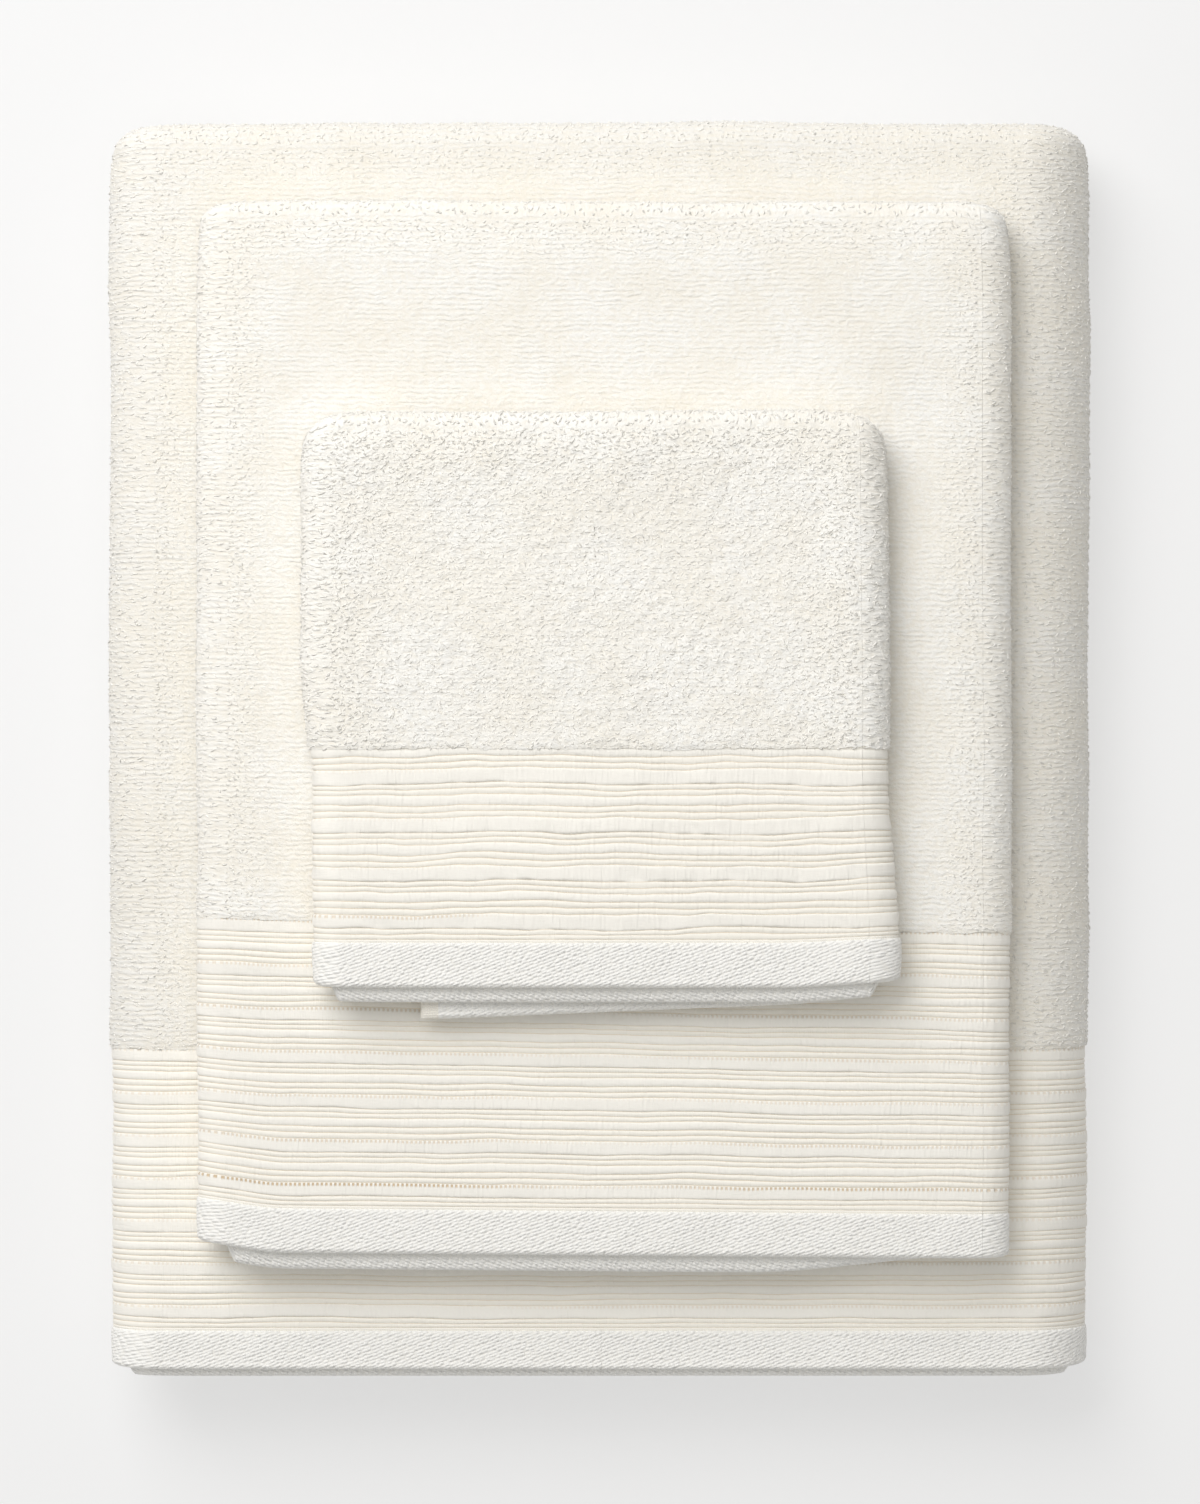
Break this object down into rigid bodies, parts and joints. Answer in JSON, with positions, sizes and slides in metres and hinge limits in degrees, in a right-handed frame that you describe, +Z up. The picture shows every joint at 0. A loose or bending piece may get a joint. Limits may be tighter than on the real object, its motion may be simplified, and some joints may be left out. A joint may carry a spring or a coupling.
{
  "type": "bath towel set",
  "caption": "Stack of folded cotton terry towels in ivory: a bath towel, a hand towel and a washcloth, each with a ribbed band and a hem, that lift apart and open",
  "frame": {"origin": "middle of the underside of the stack, on the surface it stands on", "axes": "+X to the right as the hems face the viewer, +Y to the rear bend along the longest side, +Z up through the stack"},
  "size_m": [0.28, 0.3552, 0.0758],
  "materials": {
    "terry": "looped cotton pile, ivory, matt",
    "band": "flat woven cotton ribs, ivory with warm grooves, matt",
    "hem": "folded twill-woven cotton hem, ivory, matt",
    "selvage": "dense woven cotton edge, ivory, matt",
    "thread": "cotton sewing thread, ivory"
  },
  "bodies": {
    "bath_base": {"bath_right_flap_terry": "terry", "bath_right_flap_bands": "band", "bath_right_flap_hems": "hem", "bath_right_flap_stitching": "thread", "bath_right_selvage": "selvage", "bath_fold_terry": "terry", "bath_fold_bands": "band", "bath_fold_hems": "hem", "bath_fold_stitching": "thread"},
    "bath_top": {"bath_front_terry": "terry", "bath_front_band": "band", "bath_inner_band": "band", "bath_front_hem": "hem", "bath_inner_hem": "hem", "bath_front_stitching": "thread", "bath_left_flap_terry": "terry", "bath_left_flap_bands": "band", "bath_left_flap_hems": "hem", "bath_left_selvage": "selvage"},
    "hand_base": {"hand_right_flap_terry": "terry", "hand_right_flap_bands": "band", "hand_right_flap_hems": "hem", "hand_right_flap_stitching": "thread", "hand_right_selvage": "selvage", "hand_fold_terry": "terry", "hand_fold_bands": "band", "hand_fold_hems": "hem", "hand_fold_stitching": "thread"},
    "hand_top": {"hand_front_terry": "terry", "hand_front_band": "band", "hand_inner_band": "band", "hand_front_hem": "hem", "hand_inner_hem": "hem", "hand_front_stitching": "thread", "hand_left_flap_terry": "terry", "hand_left_flap_bands": "band", "hand_left_flap_hems": "hem", "hand_left_selvage": "selvage"},
    "wash_base": {"wash_right_flap_terry": "terry", "wash_right_flap_bands": "band", "wash_right_flap_hems": "hem", "wash_right_flap_stitching": "thread", "wash_right_selvage": "selvage", "wash_fold_terry": "terry", "wash_fold_bands": "band", "wash_fold_hems": "hem", "wash_fold_stitching": "thread"},
    "wash_top": {"wash_front_terry": "terry", "wash_front_band": "band", "wash_inner_band": "band", "wash_front_hem": "hem", "wash_inner_hem": "hem", "wash_front_stitching": "thread", "wash_left_flap_terry": "terry", "wash_left_flap_bands": "band", "wash_left_flap_hems": "hem", "wash_left_selvage": "selvage"}
  },
  "joints": [
    {"name": "bath_open", "type": "hinge", "parent": "bath_base", "child": "bath_top", "pos_m": [0.11975, 0, 0.0136], "axis": [0, 1, 0], "range_deg": [0, 30], "deforming": ["bath_fold_terry", "bath_fold_bands", "bath_fold_hems", "bath_fold_stitching"]},
    {"name": "hand_lift", "type": "slide", "parent": "bath_top", "child": "hand_base", "axis": [0, 0, 1], "range_m": [0, 0.15]},
    {"name": "hand_open", "type": "hinge", "parent": "hand_base", "child": "hand_top", "pos_m": [0.10685, 0, 0.0499], "axis": [0, 1, 0], "range_deg": [0, 30], "deforming": ["hand_fold_terry", "hand_fold_bands", "hand_fold_hems", "hand_fold_stitching"]},
    {"name": "wash_lift", "type": "slide", "parent": "hand_top", "child": "wash_base", "axis": [0, 0, 1], "range_m": [0, 0.15]},
    {"name": "wash_open", "type": "hinge", "parent": "wash_base", "child": "wash_top", "pos_m": [0.07225, 0, 0.0674], "axis": [0, 1, 0], "range_deg": [0, 180], "deforming": ["wash_fold_terry", "wash_fold_bands", "wash_fold_hems", "wash_fold_stitching"]}
  ]
}
